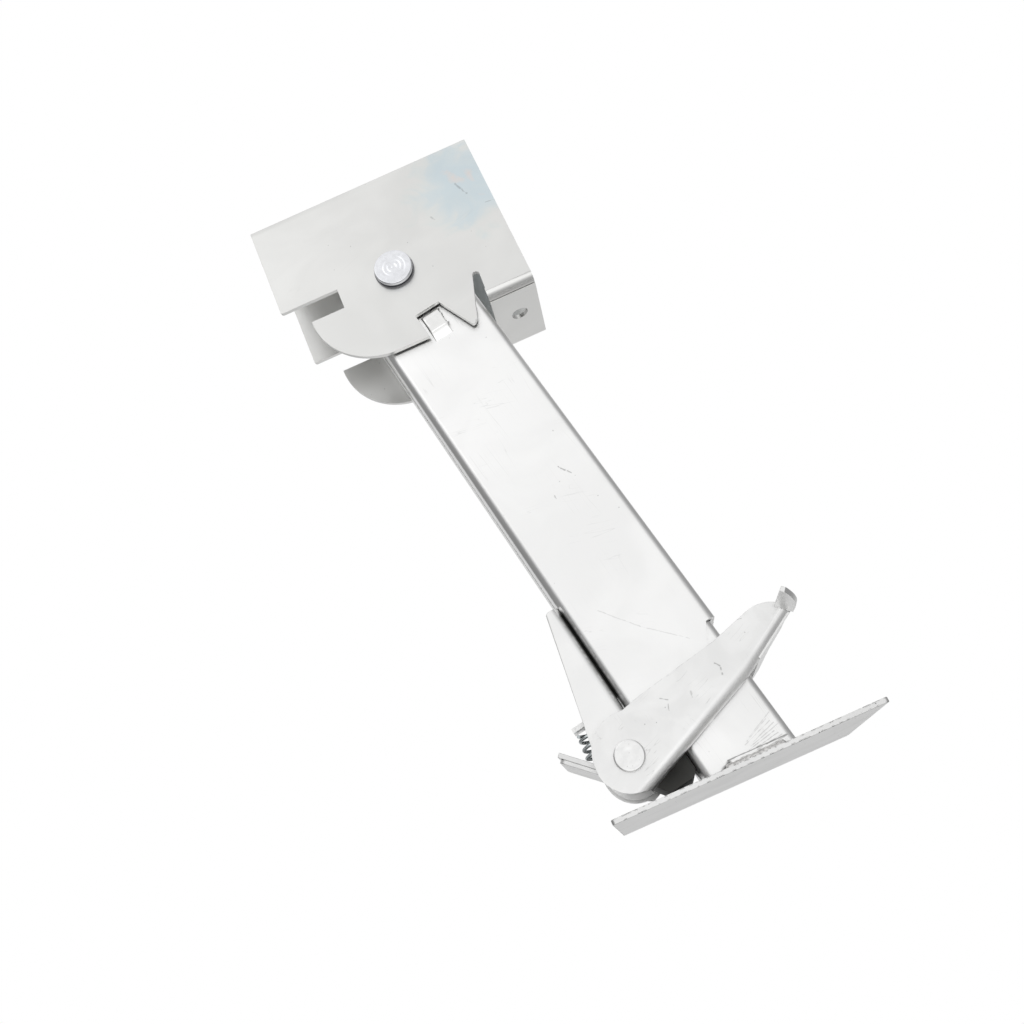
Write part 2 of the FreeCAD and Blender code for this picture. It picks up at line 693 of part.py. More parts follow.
# ---- write every piece --------------------------------------------------------------------
pieces = {
    "bracket": make_bracket(),
    "pivot_rivet": make_pivot_rivet(),
    "pivot_washer_front": make_pivot_washer(-1),
    "pivot_washer_rear": make_pivot_washer(1),
    "pivot_sleeve": make_pivot_sleeve(),
    "outer_leg": make_outer_leg(),
    "lock_lug_front": make_lock_lug(-1),
    "lock_lug_rear": make_lock_lug(1),
    "lever_bracket": make_lever_bracket(),
    "lever_rivet": make_lever_rivet(),
    "lever_bush": make_lever_bush(),
    "lever_washer_front": make_lever_washer(-1),
    "lever_washer_rear": make_lever_washer(1),
    "lever": make_lever(),
    "grip_pawl": make_grip_pawl(),
    "paddle_backing": make_paddle_backing(),
    "grip_spring": make_grip_spring(),
    "inner_leg": make_inner_leg(),
    "slide_shoe": make_slide_shoe(),
    "foot_plate": make_foot_plate(),
    "foot_weld": make_foot_weld(),
}

os.makedirs("parts", exist_ok=True)
for name, shape in pieces.items():
    shape.exportStep("parts/" + name + ".step")
    size = shape.BoundBox
    print(name, "valid", shape.isValid(), "solids", len(shape.Solids),
          "volume %.0f" % shape.Volume,
          "size %.1f %.1f %.1f" % (size.XLength, size.YLength, size.ZLength))
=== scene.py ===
# %% [markdown]
# # A swing-down support leg in zinc-plated sheet steel
# The object is a folding, telescoping leg that hangs under a vehicle's frame. A folded
# bracket bolts to the frame, a lipped channel swings on a big rivet, a second channel slides
# inside it and carries a flat foot, and a lever lets the inner channel go.
# The shapes and the joints come from the CAD frame. This lesson gives them their finish:
# softened sheet edges, rolled rivet heads, a wound spring, torn lugs, weld beads, and a
# plating that is never one flat grey.

# %% Load the frame
import json
import math
import bmesh
import bpy
import numpy as np
from mathutils import Matrix, Vector

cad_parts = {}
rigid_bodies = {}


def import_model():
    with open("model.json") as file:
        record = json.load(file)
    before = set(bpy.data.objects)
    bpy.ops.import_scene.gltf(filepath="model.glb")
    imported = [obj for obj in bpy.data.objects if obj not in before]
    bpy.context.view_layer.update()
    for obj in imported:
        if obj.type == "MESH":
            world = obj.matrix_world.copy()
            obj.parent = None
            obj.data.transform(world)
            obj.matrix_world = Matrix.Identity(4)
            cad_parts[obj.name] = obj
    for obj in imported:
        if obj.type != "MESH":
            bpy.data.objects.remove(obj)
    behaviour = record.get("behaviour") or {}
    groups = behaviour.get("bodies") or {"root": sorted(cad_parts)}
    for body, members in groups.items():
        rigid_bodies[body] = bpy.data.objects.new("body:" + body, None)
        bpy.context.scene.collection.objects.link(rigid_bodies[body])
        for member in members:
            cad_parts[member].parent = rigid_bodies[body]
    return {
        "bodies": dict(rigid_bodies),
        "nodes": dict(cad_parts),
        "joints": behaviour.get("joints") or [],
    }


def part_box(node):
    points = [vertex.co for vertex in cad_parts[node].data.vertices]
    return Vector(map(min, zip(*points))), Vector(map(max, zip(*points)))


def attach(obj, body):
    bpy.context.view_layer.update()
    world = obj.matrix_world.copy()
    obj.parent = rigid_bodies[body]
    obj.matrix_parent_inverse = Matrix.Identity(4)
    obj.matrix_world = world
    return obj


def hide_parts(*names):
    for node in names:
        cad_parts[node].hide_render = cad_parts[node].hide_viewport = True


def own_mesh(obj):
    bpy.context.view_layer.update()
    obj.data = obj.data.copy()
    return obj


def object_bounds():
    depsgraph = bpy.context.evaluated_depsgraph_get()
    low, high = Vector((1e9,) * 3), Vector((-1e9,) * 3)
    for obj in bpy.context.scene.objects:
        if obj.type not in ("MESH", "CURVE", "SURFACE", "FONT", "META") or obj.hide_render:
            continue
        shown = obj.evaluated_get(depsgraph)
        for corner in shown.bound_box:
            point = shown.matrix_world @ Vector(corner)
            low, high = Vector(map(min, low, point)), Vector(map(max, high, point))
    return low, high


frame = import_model()
cad_box = [list(corner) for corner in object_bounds()]
MM = 0.001
print("CAD box in mm", [[round(v / MM, 1) for v in corner] for corner in cad_box])

# %% [markdown]
# ## Where things are
# Places are measured from the frame's own boxes and joints. The leg leans, so a small
# helper turns "across the leg" and "down the leg" into the bracket's directions. The slide
# joint's axis says which way is down the leg, and the swing joint's place says where the
# pivot is.

# %% Pivot, leg direction and helpers
joints = {joint["name"]: joint for joint in frame["joints"]}
PIVOT = np.array(joints["leg_swing"]["pos_m"], float)
LEVER_PIVOT = np.array(joints["lever_turn"]["pos_m"], float)
DOWN = np.array(joints["leg_extend"]["axis"], float)
DOWN /= np.linalg.norm(DOWN)
ACROSS = np.array([-DOWN[2], 0.0, DOWN[0]])
FRONT = np.array([0.0, -1.0, 0.0])
LEAN = math.atan2(DOWN[0], -DOWN[2])
WALL = -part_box("outer_leg")[0].y
PLATE = -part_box("bracket")[0].y
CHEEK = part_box("lever")[1].y


def on_leg(across, down, front):
    """The point so many millimetres across the leg, down it and in front of its middle."""
    return PIVOT + (ACROSS * across + DOWN * down + FRONT * front) * MM


def on_lever(right, up, front):
    """The point so many millimetres right of the lever's rivet, above it and in front."""
    return LEVER_PIVOT + np.array([right, -front, up]) * MM


print("the leg leans", round(math.degrees(LEAN), 2), "degrees")
print("front faces at", [round(v / MM, 2) for v in (WALL, PLATE, CHEEK)], "mm")

# %% [markdown]
# ## Camera
# The camera stands low in front and looks up at the underside of the flange and the foot,
# and it is rolled, so that the leg runs down to the right. A camera matrix is three unit
# vectors and a place: its x and y axes lie in the picture, and its z axis points back at
# the viewer.

# %% Camera
AZIMUTH, ELEVATION, ROLL = (math.radians(a) for a in (0.25, -20.97, -24.21))
CAMERA_PLACE = Vector((2.04, -439.2, -348.8)) * MM
FOCAL_LENGTH = 36.74
look = Vector((math.sin(AZIMUTH) * math.cos(ELEVATION),
               math.cos(AZIMUTH) * math.cos(ELEVATION), -math.sin(ELEVATION)))
level = Vector((math.cos(AZIMUTH), -math.sin(AZIMUTH), 0.0))
upright = level.cross(look)
right = level * math.cos(ROLL) + upright * math.sin(ROLL)
above = upright * math.cos(ROLL) - level * math.sin(ROLL)
camera = bpy.data.objects.new("camera", bpy.data.cameras.new("camera"))
bpy.context.scene.collection.objects.link(camera)
camera.data.lens = FOCAL_LENGTH
camera.data.clip_start = 0.01
camera.matrix_world = Matrix.Translation(CAMERA_PLACE) @ Matrix(
    (right, above, -look)).transposed().to_4x4()
bpy.context.scene.camera = camera
print("camera at", [round(v, 3) for v in CAMERA_PLACE], "lens", FOCAL_LENGTH)

# %% [markdown]
# ## Node helpers
# Shader nodes are quick to write once two small helpers exist. The first adds a node and
# fills its sockets: a plain value is stored, and another node's socket is linked. The
# second makes a node group with named inputs and outputs, so that one effect can be placed
# in many materials, each time with its own values.

# %% Node helpers
def add(tree, kind, sockets=None, **settings):
    """Adds a node, sets its properties, and fills its input sockets by name or number."""
    made = tree.nodes.new("ShaderNode" + kind)
    for key, value in settings.items():
        setattr(made, key, value)
    for key, value in (sockets or {}).items():
        if isinstance(value, bpy.types.NodeSocket):
            tree.links.new(value, made.inputs[key])
        else:
            made.inputs[key].default_value = value
    return made


def maths(tree, operation, *values, clamp=False):
    """The result socket of one Math node."""
    return add(tree, "Math", dict(enumerate(values)), operation=operation,
               use_clamp=clamp).outputs[0]


def fade(tree, value, start, end, low=0.0, high=1.0):
    """Value from start to end, turned smoothly into low to high."""
    sockets = {"Value": value, "From Min": start, "From Max": end, "To Min": low, "To Max": high}
    return add(tree, "MapRange", sockets, interpolation_type="SMOOTHSTEP").outputs[0]


def vector_maths(tree, operation, *values):
    """The Vector Math node itself, because some operations answer with a number."""
    return add(tree, "VectorMath", dict(enumerate(values)), operation=operation)


def new_group(name, inputs, outputs):
    """An empty node group. Inputs are (name, kind, start value); outputs are (name, kind)."""
    tree = bpy.data.node_groups.new(name, "ShaderNodeTree")
    for label, kind, start in inputs:
        socket = tree.interface.new_socket(label, in_out="INPUT", socket_type="NodeSocket" + kind)
        socket.default_value = start
    for label, kind in outputs:
        tree.interface.new_socket(label, in_out="OUTPUT", socket_type="NodeSocket" + kind)
    return tree, tree.nodes.new("NodeGroupInput").outputs, tree.nodes.new("NodeGroupOutput").inputs


def place_group(tree, name, **values):
    """Places a node group in a material and returns its outputs."""
    made = tree.nodes.new("ShaderNodeGroup")
    made.node_tree = bpy.data.node_groups[name]
    for key, value in values.items():
        socket = made.inputs[key.replace("_", " ")]
        if isinstance(value, bpy.types.NodeSocket):
            tree.links.new(value, socket)
        else:
            socket.default_value = value
    return made.outputs


def mix_colour(tree, share, first, second, blend="MIX"):
    """Mixes two colours; share 0 is the first and share 1 the second."""
    made = add(tree, "Mix", data_type="RGBA", blend_type=blend)
    for index, value in ((0, share), (6, first), (7, second)):
        if isinstance(value, bpy.types.NodeSocket):
            tree.links.new(value, made.inputs[index])
        else:
            made.inputs[index].default_value = value
    return made.outputs[2]


print("helpers ready")

# %% [markdown]
# ## Effect: satin grain
# Bright zinc on rolled sheet isn't a mirror. Under a lens it is a fine pebble, and from
# further away it is cloudy, because the plating is a little thicker here and there. One
# noise at each size gives both. The fine one drives bump and roughness, and the cloud
# drives the tone.

# %% Group: satin grain
tree, given, result = new_group(
    "satin grain", [("Grain Size", "Float", 0.0004), ("Cloud Size", "Float", 0.02),
                    ("Seed", "Vector", (0.0, 0.0, 0.0))],
    [("Grain", "Float"), ("Cloud", "Float")])
place = add(tree, "TexCoord").outputs["Object"]
place = vector_maths(tree, "ADD", place, given["Seed"]).outputs[0]
fine = add(tree, "TexNoise", {"Vector": place, "Detail": 2.0, "Roughness": 0.6,
                              "Scale": maths(tree, "DIVIDE", 1.0, given["Grain Size"])})
cloud = add(tree, "TexNoise", {"Vector": place, "Detail": 3.0, "Distortion": 0.6,
                               "Scale": maths(tree, "DIVIDE", 1.0, given["Cloud Size"])})
tree.links.new(fine.outputs["Fac"], result["Grain"])
tree.links.new(fade(tree, cloud.outputs["Fac"], 0.3, 0.7), result["Cloud"])
print("group", tree.name, "has", len(tree.nodes), "nodes")

# %% [markdown]
# ## Effect: fine scratches
# Handling leaves hair-thin scratches that mostly run one way. A noise that is stretched far
# along one axis has long level lines, and keeping only a thin band about one level turns
# those lines into scratches. A second, larger noise breaks them into patches.

# %% Group: fine scratches
tree, given, result = new_group(
    "fine scratches", [("Turn", "Vector", (0.0, 0.0, 0.0)), ("Spacing", "Float", 0.004),
                       ("Stretch", "Float", 14.0), ("Thinness", "Float", 0.012),
                       ("Patches", "Float", 0.02), ("Rarity", "Float", 0.55),
                       ("Seed", "Vector", (0.0, 0.0, 0.0))], [("Mask", "Float")])
place = add(tree, "TexCoord").outputs["Object"]
place = vector_maths(tree, "ADD", place, given["Seed"]).outputs[0]
turned = add(tree, "Mapping", {"Vector": place, "Rotation": given["Turn"]}).outputs[0]
density = maths(tree, "DIVIDE", 1.0, given["Spacing"])
along = maths(tree, "DIVIDE", density, given["Stretch"])
squeeze = add(tree, "CombineXYZ", {"X": along, "Y": density, "Z": density}).outputs[0]
stretched = vector_maths(tree, "MULTIPLY", turned, squeeze).outputs[0]
lines = add(tree, "TexNoise", {"Vector": stretched, "Scale": 1.0, "Detail": 1.5}).outputs["Fac"]
away = maths(tree, "ABSOLUTE", maths(tree, "SUBTRACT", lines, 0.5))
thin = add(tree, "MapRange", {"Value": away, "From Min": 0.0, "From Max": given["Thinness"],
                              "To Min": 1.0, "To Max": 0.0}).outputs[0]
patch = add(tree, "TexNoise", {"Vector": place, "Detail": 2.0,
                               "Scale": maths(tree, "DIVIDE", 1.0, given["Patches"])})
kept = add(tree, "MapRange", {"Value": patch.outputs["Fac"], "From Min": given["Rarity"],
                              "From Max": maths(tree, "ADD", given["Rarity"], 0.08)}).outputs[0]
tree.links.new(maths(tree, "MULTIPLY", thin, kept), result["Mask"])
print("group", tree.name, "has", len(tree.nodes), "nodes")

# %% [markdown]
# ## Effect: one drawn mark
# Some marks are single: one long scratch from a slip, or a nick. A mark is the
# distance to a straight segment, kept under a small width. The point is shaken by a noise
# first, so the line wavers, and the width shrinks where a second noise is low, so the line
# skips.

# %% Group: one drawn mark
tree, given, result = new_group(
    "drawn mark", [("Start", "Vector", (0.0, 0.0, 0.0)), ("End", "Vector", (0.0, 0.0, 0.0)),
                   ("Width", "Float", 0.0003), ("Waver", "Float", 0.001),
                   ("Thinnest", "Float", 0.25)], [("Mask", "Float")])
place = add(tree, "TexCoord").outputs["Object"]
shake = add(tree, "TexNoise", {"Vector": place, "Scale": 160.0, "Detail": 3.0}).outputs["Color"]
centred = vector_maths(tree, "SUBTRACT", shake, (0.5, 0.5, 0.5)).outputs[0]
offset = add(tree, "VectorMath", {0: centred, "Scale": given["Waver"]},
             operation="SCALE").outputs[0]
shaken = vector_maths(tree, "ADD", place, offset).outputs[0]
to_point = vector_maths(tree, "SUBTRACT", shaken, given["Start"]).outputs[0]
to_end = vector_maths(tree, "SUBTRACT", given["End"], given["Start"]).outputs[0]
share = maths(tree, "DIVIDE", vector_maths(tree, "DOT_PRODUCT", to_point, to_end).outputs["Value"],
              vector_maths(tree, "DOT_PRODUCT", to_end, to_end).outputs["Value"], clamp=True)
nearest = add(tree, "VectorMath", {0: to_end, "Scale": share}, operation="SCALE").outputs[0]
away = vector_maths(tree, "DISTANCE", to_point, nearest).outputs["Value"]
skips = add(tree, "TexNoise", {"Vector": place, "Scale": 420.0, "Detail": 1.0}).outputs["Fac"]
thinning = fade(tree, skips, 0.35, 0.55, given["Thinnest"], 1.0)
width = maths(tree, "MULTIPLY", given["Width"], thinning)
edge = add(tree, "MapRange", {"Value": away, "From Min": 0.0, "From Max": width,
                              "To Min": 1.0, "To Max": 0.0}).outputs[0]
tree.links.new(edge, result["Mask"])
print("group", tree.name, "has", len(tree.nodes), "nodes")

# %% [markdown]
# ## Effect: worn edges
# Plating is thinnest on a corner, and corners are what gets knocked. The Bevel node gives
# the normal as if each corner were round. Where that differs from the true normal, the
# point is near an edge. A noise then keeps only some stretches of it.

# %% Group: worn edges
tree, given, result = new_group(
    "worn edges", [("Reach", "Float", 0.0006), ("Rarity", "Float", 0.5),
                   ("Grain", "Float", 0.002)], [("Mask", "Float")])
soft = add(tree, "Bevel", {"Radius": given["Reach"]}, samples=4).outputs["Normal"]
true = add(tree, "NewGeometry").outputs["True Normal"]
same = vector_maths(tree, "DOT_PRODUCT", soft, true).outputs["Value"]
near_edge = fade(tree, same, 0.995, 0.90)
place = add(tree, "TexCoord").outputs["Object"]
broken = add(tree, "TexNoise", {"Vector": place, "Detail": 3.0,
                                "Scale": maths(tree, "DIVIDE", 1.0, given["Grain"])})
kept = add(tree, "MapRange", {"Value": broken.outputs["Fac"], "From Min": given["Rarity"],
                              "From Max": maths(tree, "ADD", given["Rarity"], 0.1)}).outputs[0]
tree.links.new(maths(tree, "MULTIPLY", near_edge, kept), result["Mask"])
print("group", tree.name, "has", len(tree.nodes), "nodes")

# %% [markdown]
# ## Effect: specks
# Small pits and drips show as dark specks. The cells of a Voronoi texture each hold one
# round spot about their own centre, and a noise leaves most cells empty.

# %% Group: specks
tree, given, result = new_group(
    "specks", [("Cell", "Float", 0.003), ("Spot", "Float", 0.12), ("Patches", "Float", 0.02),
               ("Rarity", "Float", 0.58)], [("Mask", "Float")])
place = add(tree, "TexCoord").outputs["Object"]
ragged = add(tree, "TexNoise", {"Vector": place, "Scale": 1200.0, "Detail": 2.0}).outputs["Fac"]
cells = add(tree, "TexVoronoi", {"Vector": place,
                                 "Scale": maths(tree, "DIVIDE", 1.0, given["Cell"])})
far = maths(tree, "ADD", cells.outputs["Distance"], maths(tree, "MULTIPLY", ragged, 0.12))
spot = maths(tree, "LESS_THAN", far, maths(tree, "ADD", given["Spot"], 0.06))
patch = add(tree, "TexNoise", {"Vector": place, "Detail": 1.0,
                               "Scale": maths(tree, "DIVIDE", 1.0, given["Patches"])})
kept = maths(tree, "GREATER_THAN", patch.outputs["Fac"], given["Rarity"])
tree.links.new(maths(tree, "MULTIPLY", spot, kept), result["Mask"])
print("group", tree.name, "has", len(tree.nodes), "nodes")

# %% [markdown]
# ## Effect: passivation tint
# Clear passivated zinc shows faint oil colours where the film is thicker: straw, then rose,
# then sky blue. The film has one thick patch near a corner, so the group takes a centre and
# a reach, and a wavy noise bends its bands.

# %% Group: passivation tint
tree, given, result = new_group(
    "passivation tint", [("Centre", "Vector", (0.0, 0.0, 0.0)), ("Reach", "Float", 0.04)],
    [("Colour", "Color"), ("Mask", "Float")])
place = add(tree, "TexCoord").outputs["Object"]
wavy = add(tree, "TexNoise", {"Vector": place, "Scale": 70.0, "Detail": 5.0, "Distortion": 1.0})
away = vector_maths(tree, "DISTANCE", place, given["Centre"]).outputs["Value"]
film = maths(tree, "ADD", maths(tree, "DIVIDE", away, given["Reach"]),
             maths(tree, "MULTIPLY", maths(tree, "SUBTRACT", wavy.outputs["Fac"], 0.5), 1.3))
bands = add(tree, "ValToRGB", {"Fac": film})
stops = ((0.0, (0.97, 0.91, 0.86, 1)), (0.05, (0.95, 0.92, 0.92, 1)), (0.22, (0.82, 0.93, 1.0, 1)),
         (0.60, (0.80, 0.93, 1.0, 1)), (0.82, (0.90, 0.98, 0.98, 1)), (1.0, (1.0, 0.98, 0.97, 1)))
while len(bands.color_ramp.elements) < len(stops):
    bands.color_ramp.elements.new(0.5)
for element, (position, colour) in zip(bands.color_ramp.elements, stops):
    element.position = position
    element.color = colour
tree.links.new(bands.outputs["Color"], result["Colour"])
tree.links.new(fade(tree, film, 1.15, 0.15), result["Mask"])
print("group", tree.name, "has", len(tree.nodes), "nodes")

# %% [markdown]
# ## The plated-steel recipe
# Every plated piece is the same metal with different values, so one function writes the
# material. It takes the tone, the roughness and the amounts of each effect, and a list of
# single marks. Scratches, wear and specks darken the tone and cut a little into the bump.
# The metal itself stays in the material: metallic is 1 all over, so that number is set
# on the shader's own socket.

# %% Plated steel
def plated(name, tone, rough, cloud=0.08, cloud_size=0.022, grain=0.00035, bump=0.25,
           scratches=(), marks=(), wear=None, specks=None, tint=None, seed=(0.0, 0.0, 0.0)):
    """A zinc-plated steel. Scratches and marks are (how dark, values); wear, specks and tint
    are values of their groups."""
    material = bpy.data.materials.new(name)
    material.use_nodes = True
    tree = material.node_tree
    tree.nodes.clear()
    satin = place_group(tree, "satin grain", Grain_Size=grain, Cloud_Size=cloud_size, Seed=seed)
    darker = tuple(channel * (1.0 - cloud) for channel in tone) + (1.0,)
    colour = mix_colour(tree, satin["Cloud"], darker, tuple(tone) + (1.0,))
    if tint:
        strength, values = tint
        film = place_group(tree, "passivation tint", **values)
        share = maths(tree, "MULTIPLY", film["Mask"], strength)
        colour = mix_colour(tree, share, colour, film["Colour"], "MULTIPLY")
    cuts = []
    for dark, values in scratches:
        cuts.append((dark, place_group(tree, "fine scratches", **values)["Mask"]))
    for dark, values in marks:
        cuts.append((dark, place_group(tree, "drawn mark", **values)["Mask"]))
    if wear:
        dark, values = wear
        cuts.append((dark, place_group(tree, "worn edges", **values)["Mask"]))
    if specks:
        dark, values = specks
        cuts.append((dark, place_group(tree, "specks", **values)["Mask"]))
    height = maths(tree, "MULTIPLY", satin["Grain"], 0.4)
    depth = 0.0
    for dark, mask in cuts:
        share = maths(tree, "MULTIPLY", mask, dark)
        colour = mix_colour(tree, share, colour, (0.10, 0.10, 0.095, 1.0))
        depth = maths(tree, "MAXIMUM", depth, share)
    height = maths(tree, "SUBTRACT", height, maths(tree, "MULTIPLY", depth, 1.2))
    spread = fade(tree, satin["Grain"], 0.3, 0.7, rough * 0.92, rough * 1.08)
    spread = maths(tree, "ADD", spread, maths(tree, "MULTIPLY", depth, 0.25), clamp=True)
    relief = add(tree, "Bump", {"Height": height, "Strength": bump, "Distance": 0.0001})
    metal = add(tree, "BsdfPrincipled", {"Base Color": colour, "Roughness": spread,
                                         "Metallic": 1.0, "Normal": relief.outputs[0]})
    tree.links.new(metal.outputs[0], add(tree, "OutputMaterial").inputs["Surface"])
    print("material", name, "with", len(cuts), "kinds of wear")
    return material


def turn(direction):
    """The turn that brings a direction in the XZ plane onto the pattern's long axis."""
    return (0.0, math.atan2(direction[2], direction[0]), 0.0)


def mark(start, end, width, waver=0.6, dark=0.6, thinnest=0.25):
    """One drawn mark between two points, with its width and waver in millimetres. It thins to
    the share given as thinnest in places."""
    return (dark, {"Start": tuple(start), "End": tuple(end), "Width": width * MM,
                   "Waver": waver * MM, "Thinnest": thinnest})


# %% [markdown]
# ## Bracket finish
# The bracket is passivated a shade darker and warmer than the legs, with an oil-coloured
# patch near its top right corner, a dark drip mark inside it, and a little pitting.

# %% Bracket material
corner = Vector((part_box("bracket")[1].x, -PLATE, 0.0))


def near_corner(right, up):
    """The point on the front plate so many millimetres right of its top corner and above it."""
    return corner + Vector((right, 0.0, up)) * MM


bracket_metal = plated(
    "passivated bracket", (0.765, 0.765, 0.752), 0.32, cloud=0.06, cloud_size=0.035, bump=0.35,
    scratches=[(0.05, {"Turn": turn((1, 0, 0.4)), "Spacing": 0.005, "Stretch": 14.0,
                       "Patches": 0.02, "Rarity": 0.56})],
    marks=[mark(near_corner(-13.5, -24.5), near_corner(-10.8, -32.0), 0.8, 1.4, 0.42),
           mark(near_corner(-31.0, -36.0), near_corner(-29.8, -38.5), 0.6, 1.0, 0.30),
           mark(near_corner(-5.0, -41.0), near_corner(-0.5, -41.4), 0.35, 0.5, 0.35)],
    wear=(0.22, {"Reach": 0.0005, "Rarity": 0.52, "Grain": 0.004}),
    specks=(0.30, {"Cell": 0.004, "Spot": 0.07, "Patches": 0.03, "Rarity": 0.56}),
    tint=(0.95, {"Centre": tuple(near_corner(-8.0, -24.0)), "Reach": 0.034}))

# %% [markdown]
# ## Leg finishes
# The outer leg is the brightest piece. Its wall carries faint scratches, one long slip
# across its lower end, and three nicks half way down. The inner leg has oblique rub marks
# just above the foot, and a dark line along the top of its weld. The groove where the lever's
# ears are folded against the outer leg gets painted shade: a dark band drawn on both pieces.

# %% Leg materials
WALL_MM = WALL / MM
LEG_SIDE = -25.4
GROOVE_DEPTH = WALL_MM - 2.4
# GROOVE_SHADE is painted shade: a dark band drawn down the groove between the ears and the leg.
GROOVE_SHADE = mark(on_leg(LEG_SIDE, 182.0, GROOVE_DEPTH), on_leg(LEG_SIDE, 252.0, GROOVE_DEPTH),
                   3.0, 0.4, 1.2, 0.75)
leg_metal = plated(
    "bright outer leg", (0.95, 0.95, 0.945), 0.32, cloud=0.05, cloud_size=0.03, grain=0.0007,
    bump=0.5, seed=(0.3, 0.1, 0.2),
    scratches=[(0.12, {"Turn": turn(ACROSS * 0.8 + DOWN * 0.3), "Spacing": 0.003,
                       "Stretch": 9.0, "Patches": 0.016, "Rarity": 0.58, "Thinness": 0.010}),
               (0.10, {"Turn": turn(DOWN), "Spacing": 0.004, "Stretch": 22.0, "Patches": 0.03,
                       "Rarity": 0.52, "Thinness": 0.008, "Seed": (0.7, 0.2, 0.1)})],
    marks=[mark(on_leg(-13.5, 187.5, WALL_MM), on_leg(-2.0, 204.0, WALL_MM), 0.30, 0.8, 0.30),
           mark(on_leg(-2.0, 204.0, WALL_MM), on_leg(11.5, 219.0, WALL_MM), 0.30, 0.8, 0.26),
           mark(on_leg(9.0, 126.6, WALL_MM), on_leg(10.6, 129.6, WALL_MM), 0.55, 0.8, 0.60),
           mark(on_leg(11.2, 130.4, WALL_MM), on_leg(12.2, 132.2, WALL_MM), 0.45, 0.8, 0.50),
           mark(on_leg(0.3, 136.8, WALL_MM), on_leg(0.2, 138.6, WALL_MM), 0.45, 0.6, 0.40),
           # painted shade down the groove beside the ears
           GROOVE_SHADE],
    wear=(0.30, {"Reach": 0.0005, "Rarity": 0.50, "Grain": 0.003}),
    specks=(0.28, {"Cell": 0.005, "Spot": 0.06, "Patches": 0.022, "Rarity": 0.60}))

# %% Inner leg material
INNER_WALL = -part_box("inner_leg")[0].y / MM
RUB_LINES = 9
inner_marks = []
for line in range(RUB_LINES):
    start = on_leg(5.0 + 1.5 * (line % 3), 269.3 - 0.80 * line, INNER_WALL)
    end = on_leg(20.0 - 0.9 * (line % 4), 270.2 - 1.35 * line, INNER_WALL)
    inner_marks.append(mark(start, end, 0.34, 0.5, 0.42 - 0.02 * line))
inner_marks.append(mark(on_leg(-4.0, 265.7, INNER_WALL), on_leg(22.0, 270.2, INNER_WALL),
                        0.45, 0.3, 0.75, 0.6))
inner_marks.append(mark(on_leg(-8.3, 268.2, INNER_WALL), on_leg(-4.0, 266.6, INNER_WALL),
                        1.3, 0.3, 1.0, 0.7))
inner_metal = plated(
    "bright inner leg", (0.95, 0.95, 0.945), 0.32, cloud=0.07, cloud_size=0.03, grain=0.0007,
    bump=0.5, marks=inner_marks, seed=(0.1, 0.5, 0.4),
    scratches=[(0.16, {"Turn": turn((1, 0, 0.45)), "Spacing": 0.0022, "Stretch": 12.0,
                       "Patches": 0.014, "Rarity": 0.56, "Thinness": 0.020}),
               (0.16, {"Turn": turn(DOWN), "Spacing": 0.003, "Stretch": 30.0, "Patches": 0.02,
                       "Rarity": 0.45, "Thinness": 0.010, "Seed": (0.2, 0.9, 0.1)})],
    wear=(0.25, {"Reach": 0.0005, "Rarity": 0.50, "Grain": 0.003}),
    specks=(0.25, {"Cell": 0.005, "Spot": 0.06, "Patches": 0.02, "Rarity": 0.6}))

# %% [markdown]
# ## Lever finish
# The lever is tumbled after stamping, so its cheek is cloudier than the legs and carries
# short dark nicks: a pair near its middle, some near the neck and one by the heel. The end of
# the pawl behind it, in the pocket under the lever, gets painted shade and is drawn nearly black.
# The ears are as bright as the leg, with a dark sheared edge.

# %% Lever materials
CHEEK_MM = CHEEK / MM
lever_metal = plated(
    "tumbled lever", (0.905, 0.905, 0.90), 0.36, cloud=0.09, cloud_size=0.016,
    seed=(0.6, 0.3, 0.9),
    scratches=[(0.20, {"Turn": turn((1, 0, 0.4)), "Spacing": 0.0026, "Stretch": 7.0,
                       "Patches": 0.010, "Rarity": 0.55, "Thinness": 0.012}),
               (0.20, {"Turn": turn((0.3, 0, -1)), "Spacing": 0.003, "Stretch": 6.0,
                       "Patches": 0.012, "Rarity": 0.58, "Thinness": 0.010,
                       "Seed": (0.1, 0.4, 0.8)})],
    marks=[mark(on_lever(45.0, 19.0, CHEEK_MM), on_lever(46.6, 17.2, CHEEK_MM), 0.45, 0.8, 0.55),
           mark(on_lever(46.6, 16.4, CHEEK_MM), on_lever(46.0, 13.8, CHEEK_MM), 0.50, 0.9, 0.55),
           mark(on_lever(20.0, 15.2, CHEEK_MM), on_lever(22.6, 13.4, CHEEK_MM), 0.35, 0.7, 0.50),
           mark(on_lever(22.0, 12.0, CHEEK_MM), on_lever(21.2, 9.4, CHEEK_MM), 0.30, 0.7, 0.50),
           mark(on_lever(32.0, 12.6, CHEEK_MM), on_lever(31.6, 10.6, CHEEK_MM), 0.60, 0.9, 0.34),
           mark(on_lever(10.4, -8.6, CHEEK_MM), on_lever(8.4, -11.6, CHEEK_MM), 0.50, 0.9, 0.55),
           mark(on_lever(8.0, -10.6, CHEEK_MM), on_lever(9.6, -13.2, CHEEK_MM), 0.35, 0.9, 0.45),
           mark(on_lever(60.0, 31.0, CHEEK_MM), on_lever(62.4, 30.6, CHEEK_MM), 0.35, 0.6, 0.40)],
    wear=(0.30, {"Reach": 0.0005, "Rarity": 0.46, "Grain": 0.002}),
    specks=(0.30, {"Cell": 0.004, "Spot": 0.07, "Patches": 0.012, "Rarity": 0.58}))
